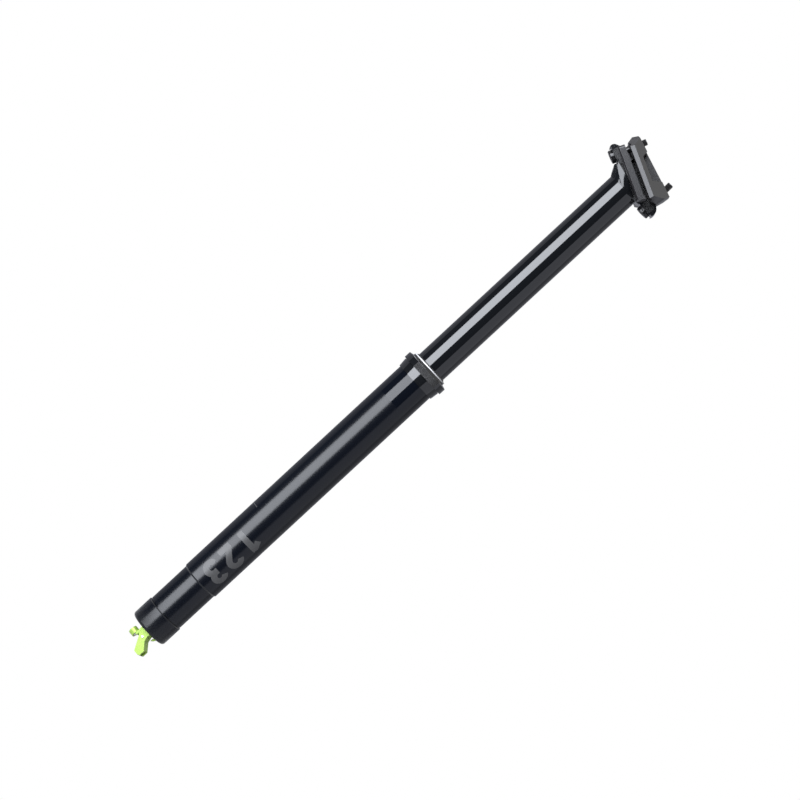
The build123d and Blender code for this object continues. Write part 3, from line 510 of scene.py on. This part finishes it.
@dataclass
class DepthMarks:
    """Plain numerals and a thin line printed on the outer tube, which show how deep it sits.

    The print stands off the tube by the lift. The numerals follow each other down the post, and
    the gap is the step from one to the next.

    A numeral is a list of strokes, in shares of its height, with its baseline along X. A line has
    the X and Y of its two ends. An arc has its centre, its radius, and its first and last angle.
    """

    tube_r: float = 15.8
    lift: float = 0.03
    numeral_height: float = 20.0
    numeral_gap: float = 16.5
    stroke: float = 4.6
    top_z: float = -160.0
    middle_azimuth: float = 10.0
    line_z: float = -145.0
    line_width: float = 0.5
    line_start: float = -42.0
    line_end: float = -300.0
    straight_steps: int = 24
    arc_steps: int = 48
    ribbon_steps: int = 7
    ring_steps: int = 160
    strokes: dict[str, list[tuple[str, tuple[float, ...]]]] = field(
        default_factory=lambda: {
            "1": [("line", (0.34, 0.0, 0.34, 1.0)), ("line", (0.05, 0.74, 0.34, 0.93))],
            "2": [
                ("arc", (0.3, 0.69, 0.215, 165.0, -38.0)),
                ("line", (0.475, 0.565, 0.11, 0.1)),
                ("line", (0.05, 0.1, 0.58, 0.1)),
            ],
            "3": [
                ("arc", (0.27, 0.715, 0.2, 160.0, -90.0)),
                ("arc", (0.27, 0.3, 0.215, 90.0, -160.0)),
                ("line", (0.17, 0.508, 0.3, 0.508)),
            ],
        }
    )

    def centreline(self, kind: str, values: tuple[float, ...]) -> np.ndarray:
        """Work out a stroke's middle line in shares of the numeral's height.

        A line runs evenly between its two ends. An arc keeps one radius from its centre while its
        angle runs evenly from the first angle to the last.

        Args:
            kind: Either line or arc.
            values: Two ends, or a centre, a radius and two angles.

        Returns:
            Points across and up, one row each.
        """
        if kind == "line":
            x0, y0, x1, y1 = values
            along = np.linspace(0.0, 1.0, self.straight_steps)
            return np.stack((x0 + (x1 - x0) * along, y0 + (y1 - y0) * along), axis=-1)
        x, y, radius, first, last = values
        angle = np.radians(np.linspace(first, last, self.arc_steps))
        return np.stack((x + radius * np.cos(angle), y + radius * np.sin(angle)), axis=-1)

    def ribbon(self, line: np.ndarray) -> tuple[np.ndarray, np.ndarray]:
        """Carry a stroke's width along its middle line.

        Each point of the line gives a row of points across the stroke, along the line's normal.

        Args:
            line: The middle line.

        Returns:
            The flat points and the quads.
        """
        way = np.gradient(line, axis=0)
        way /= np.linalg.norm(way, axis=1, keepdims=True)
        across = np.stack((-way[:, 1], way[:, 0]), axis=-1)
        offset = np.linspace(-self.stroke / 2, self.stroke / 2, self.ribbon_steps)
        points = line[:, None, :] + across[:, None, :] * offset[None, :, None]
        return points.reshape(-1, 2), grid_faces(len(line), len(offset))

    def numerals(self) -> tuple[np.ndarray, np.ndarray]:
        """Lay all numerals on the tube, reading down the post with their tops to the front.

        A numeral's X runs down the post. Its Y, from the middle of its height, is a length along
        the tube's surface, so that Y over the radius is the turn from the middle azimuth.

        Returns:
            The points in metres and the quads.
        """
        parts = []
        for place, strokes in enumerate(self.strokes.values()):
            for kind, values in strokes:
                line = self.centreline(kind, values) * self.numeral_height
                parts.append(self.ribbon(line + np.array((place * self.numeral_gap, 0.0))))
        flat, faces = joined(parts)
        radius = self.tube_r + self.lift
        middle = math.radians(CAMERA_AZIMUTH + self.middle_azimuth)
        azimuth = middle + (flat[:, 1] - self.numeral_height / 2) / radius
        return on_post(np.array(radius), azimuth, self.top_z - flat[:, 0]), faces

    def depth_line(self) -> tuple[np.ndarray, np.ndarray]:
        """Lay a thin line part of the way round the tube, an even run of azimuths at two heights.

        Returns:
            The points in metres and the quads.
        """
        turn = np.linspace(self.line_start, self.line_end, self.ring_steps)
        azimuth = np.radians(turn)[:, None]
        height = self.line_z + np.array((-0.5, 0.5))[None, :] * self.line_width
        points = on_post(np.array(self.tube_r + self.lift), azimuth, height)
        return points.reshape(-1, 3), grid_faces(self.ring_steps, height.size)

    def build(self, wardrobe: Wardrobe) -> list[bpy.types.Object]:
        """Build the numerals and the line on the outer tube's body."""
        pieces = []
        marks = {"depth_numerals": self.numerals(), "depth_line": self.depth_line()}
        for name, (points, faces) in marks.items():
            piece = add_mesh(name, points, faces)
            wardrobe.dress(piece, PRINT)
            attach(piece, "outer")
            pieces.append(piece)
        return pieces


@dataclass
class SoftEdges:
    """Forged and machined pieces whose sharp CAD edges get the small rounding of real ones.

    Corners within the merge gap become one, and faces that meet within the flat angle become one.
    Edges sharper than the sharp angle are rounded over each piece's width.
    """

    widths: dict[str, float] = field(
        default_factory=lambda: {
            "seatpost_head": 0.9,
            "rail_cradle": 0.6,
            "top_clamp": 0.6,
            "actuator_lever": 0.35,
            "actuator_housing": 0.3,
        }
    )
    sharp_angle: float = 32.0
    merge_gap: float = 0.002
    flat_angle: float = 0.4
    segments: int = 3

    def build(self, wardrobe: Wardrobe) -> list[bpy.types.Object]:
        """Put a copy with rounded edges in each node's place, on the node's body."""
        bodies = frame["record"]["behaviour"]["bodies"]
        owners = {node: body for body, nodes in bodies.items() for node in nodes}
        finishes = {node: finish for finish, nodes in NODE_FINISHES.items() for node in nodes}
        pieces = []
        for node, width in self.widths.items():
            piece = self.rounded_copy(node, width)
            wardrobe.dress(piece, finishes[node])
            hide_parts(node)
            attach(piece, owners[node])
            pieces.append(piece)
        return pieces

    def rounded_copy(self, node: str, width: float) -> bpy.types.Object:
        """Copy a node's mesh, merge its corners and flat faces, and give it a bevel.

        Args:
            node: The CAD node's name.
            width: The bevel's width.

        Returns:
            The new object.
        """
        source = frame["nodes"][node]
        mesh = source.data.copy()
        mesh.name = f"{node}_form"
        cleaner = bmesh.new()
        cleaner.from_mesh(mesh)
        bmesh.ops.transform(cleaner, matrix=source.matrix_world, verts=cleaner.verts)
        bmesh.ops.remove_doubles(cleaner, verts=cleaner.verts, dist=self.merge_gap * MM)
        bmesh.ops.dissolve_limit(
            cleaner,
            angle_limit=math.radians(self.flat_angle),
            verts=cleaner.verts,
            edges=cleaner.edges,
        )
        cleaner.to_mesh(mesh)
        cleaner.free()
        mesh.polygons.foreach_set("use_smooth", np.full(len(mesh.polygons), True))
        piece = bpy.data.objects.new(mesh.name, mesh)
        bpy.context.scene.collection.objects.link(piece)
        bevel = piece.modifiers.new("rounding", "BEVEL")
        bevel.width = width * MM
        bevel.segments = self.segments
        bevel.limit_method = "ANGLE"
        bevel.angle_limit = math.radians(self.sharp_angle)
        normals = piece.modifiers.new("flat_faces", "WEIGHTED_NORMAL")
        normals.keep_sharp = True
        return piece


def blend(
    tree: bpy.types.NodeTree,
    factor: bpy.types.NodeSocket,
    low: bpy.types.NodeSocket | float,
    high: bpy.types.NodeSocket | float,
) -> bpy.types.NodeSocket:
    """Mix two colours by a factor.

    Args:
        tree: The node tree.
        factor: The socket that gives the factor, from 0 to 1.
        low: The colour at factor 0, as a socket or as the level of a grey.
        high: The colour at factor 1, in the same way.

    Returns:
        The socket that gives the mixed colour.
    """
    mix = tree.nodes.new("ShaderNodeMix")
    mix.data_type = "RGBA"
    tree.links.new(factor, mix.inputs["Factor"])
    for name, colour in (("A", low), ("B", high)):
        if isinstance(colour, float):
            mix.inputs[name].default_value = (colour, colour, colour, 1.0)
        else:
            tree.links.new(colour, mix.inputs[name])
    return mix.outputs["Result"]


@dataclass
class Studio:
    """Camera, lamp, floor and surroundings of the photograph's white studio.

    A band of the surroundings has the share of the full turn where it begins, from behind the post
    over -X, the viewer's side and +X, and its level. Reflections see the bands up to the overhead
    rise, which is the sine of an elevation, and the overhead level above it.
    """

    camera_distance: float = 1847.0
    camera_height: float = 14.9
    aim_height: float = -16.8
    aim_right: float = 2.1
    post_angle: float = 42.8
    lens: float = 114.5
    far_clip: float = 20000.0
    softbox_azimuth: float = -32.0
    softbox_distance: float = 1100.0
    softbox_width: float = 960.0
    softbox_height: float = 1500.0
    softbox_tint: tuple[float, float, float] = (0.9, 0.935, 1.0)
    softbox_power: float = 42.0
    ambient: float = 0.42
    floor_size: float = 300.0
    floor_drop: float = 0.5
    floor_level: float = 0.86
    floor_roughness: float = 0.8
    studio_bands: tuple[tuple[float, float], ...] = (
        (0.0, 0.35),
        (0.233, 0.02),
        (0.36, 0.5),
        (0.47, 0.02),
        (0.608, 0.75),
        (0.78, 0.35),
        (1.0, 0.35),
    )
    studio_tint: tuple[float, float, float] = (0.95, 0.97, 1.08)
    overhead_level: float = 0.9
    overhead_rise: float = 0.35

    def camera(self) -> None:
        """Set the camera at the photograph's side view.

        Its frame is made from the direction back to the camera and the post's direction in the
        picture. Both picture axes are then turned so that the post runs to the upper right.
        """
        side = level_direction(CAMERA_AZIMUTH)
        right = Vector((-side.y, side.x, 0.0))
        up = Vector((0.0, 0.0, 1.0))
        place = MM * (
            side * self.camera_distance + right * self.aim_right + up * self.camera_height
        )
        aim = MM * (right * self.aim_right + up * self.aim_height)
        back = (place - aim).normalized()
        along = (up - back * up.dot(back)).normalized()
        across = along.cross(back)
        roll = math.radians(self.post_angle)
        picture_right = along * math.cos(roll) + across * math.sin(roll)
        picture_up = along * math.sin(roll) - across * math.cos(roll)
        turn = Matrix((picture_right, picture_up, back)).transposed()
        data = bpy.data.cameras.new("camera")
        data.lens = self.lens
        data.clip_end = self.far_clip * MM
        camera = bpy.data.objects.new("camera", data)
        camera.matrix_world = Matrix.Translation(place) @ turn.to_4x4()
        bpy.context.scene.collection.objects.link(camera)
        bpy.context.scene.camera = camera

    def softbox(self) -> None:
        """Hang the large softbox beside the camera, unseen by it."""
        side = level_direction(self.softbox_azimuth)
        data = bpy.data.lights.new("softbox", "AREA")
        data.shape = "RECTANGLE"
        data.size = self.softbox_width * MM
        data.size_y = self.softbox_height * MM
        data.energy = self.softbox_power
        data.color = self.softbox_tint
        lamp = bpy.data.objects.new("softbox", data)
        turn = side.to_track_quat("Z", "Y").to_matrix().to_4x4()
        lamp.matrix_world = Matrix.Translation(side * self.softbox_distance * MM) @ turn
        lamp.visible_camera = False
        bpy.context.scene.collection.objects.link(lamp)

    def banded_azimuth(
        self, tree: bpy.types.NodeTree, axes: bpy.types.Node
    ) -> bpy.types.NodeSocket:
        """Colour a ray by its azimuth.

        The azimuth is the arctangent of X over -Y. It is spread from 0 to 1 over the full turn and
        looked up in the bands.

        Args:
            tree: The world's node tree.
            axes: The node that gives the ray's X, Y and Z.

        Returns:
            The socket that gives the band's colour.
        """
        flip = tree.nodes.new("ShaderNodeMath")
        flip.operation = "MULTIPLY"
        flip.inputs[1].default_value = -1.0
        tree.links.new(axes.outputs["Y"], flip.inputs[0])
        azimuth = tree.nodes.new("ShaderNodeMath")
        azimuth.operation = "ARCTAN2"
        tree.links.new(axes.outputs["X"], azimuth.inputs[0])
        tree.links.new(flip.outputs[0], azimuth.inputs[1])
        share = tree.nodes.new("ShaderNodeMapRange")
        share.inputs["From Min"].default_value = -math.pi
        share.inputs["From Max"].default_value = math.pi
        tree.links.new(azimuth.outputs[0], share.inputs["Value"])
        bands = tree.nodes.new("ShaderNodeValToRGB")
        ramp = bands.color_ramp
        ramp.interpolation = "CONSTANT"
        for start, _ in self.studio_bands[1:-1]:
            ramp.elements.new(start)
        for stop, (start, level) in zip(ramp.elements, self.studio_bands):
            stop.position = start
            stop.color = (*[level * part for part in self.studio_tint], 1.0)
        tree.links.new(share.outputs["Result"], bands.inputs["Fac"])
        return bands.outputs["Color"]

    def surroundings(self) -> None:
        """Make the world: white to the camera, banded to reflections, and even to the rest."""
        world = bpy.data.worlds.new("studio")
        world.use_nodes = True
        bpy.context.scene.world = world
        tree = world.node_tree
        place = tree.nodes.new("ShaderNodeTexCoord")
        axes = tree.nodes.new("ShaderNodeSeparateXYZ")
        tree.links.new(place.outputs["Generated"], axes.inputs["Vector"])
        bands = self.banded_azimuth(tree, axes)
        above = tree.nodes.new("ShaderNodeMath")
        above.operation = "GREATER_THAN"
        above.inputs[1].default_value = self.overhead_rise
        tree.links.new(axes.outputs["Z"], above.inputs[0])
        reflected = blend(tree, above.outputs[0], bands, self.overhead_level)
        rays = tree.nodes.new("ShaderNodeLightPath")
        lit = blend(tree, rays.outputs["Is Glossy Ray"], self.ambient, reflected)
        seen = blend(tree, rays.outputs["Is Camera Ray"], lit, 1.0)
        tree.links.new(seen, tree.nodes["Background"].inputs["Color"])

    def floor(self) -> None:
        """Lay a pale floor just under the post's foot, which shows white to the camera."""
        height = cad_box[0][2] / MM - self.floor_drop
        reach = np.array((-0.5, 0.5)) * self.floor_size
        spots = np.stack(np.meshgrid(reach, reach, indexing="ij"), axis=-1).reshape(-1, 2)
        points = np.column_stack((spots, np.full(len(spots), height))) * MM
        floor = add_mesh("floor", points, grid_faces(2, 2))
        material = bpy.data.materials.new("pale_floor")
        material.use_nodes = True
        nodes, links = material.node_tree.nodes, material.node_tree.links
        shader = nodes["Principled BSDF"]
        shader.inputs["Base Color"].default_value = (*[self.floor_level] * 3, 1.0)
        shader.inputs["Roughness"].default_value = self.floor_roughness
        glow = nodes.new("ShaderNodeEmission")
        rays = nodes.new("ShaderNodeLightPath")
        mix = nodes.new("ShaderNodeMixShader")
        links.new(rays.outputs["Is Camera Ray"], mix.inputs["Fac"])
        links.new(shader.outputs[0], mix.inputs[1])
        links.new(glow.outputs[0], mix.inputs[2])
        links.new(mix.outputs[0], nodes["Material Output"].inputs["Surface"])
        floor.data.materials.append(material)

    def build(self) -> None:
        """Set up the camera, the light, the surroundings and the floor."""
        self.camera()
        self.softbox()
        self.surroundings()
        self.floor()
        bpy.context.scene.view_settings.view_transform = "Standard"
        log.info("studio set")


def main() -> None:
    """Dress the nodes, build the added pieces and set up the studio."""
    logging.basicConfig(level=logging.INFO, format="%(name)s: %(message)s")
    wardrobe = Wardrobe()
    wardrobe.dress_nodes()
    band = KnurledBand().build(wardrobe)
    log.info("piece %s, %d faces", band.name, len(band.data.polygons))
    for piece in DepthMarks().build(wardrobe) + SoftEdges().build(wardrobe):
        log.info("piece %s, %d faces", piece.name, len(piece.data.polygons))
    Studio().build()


if __name__ == "__main__":
    main()
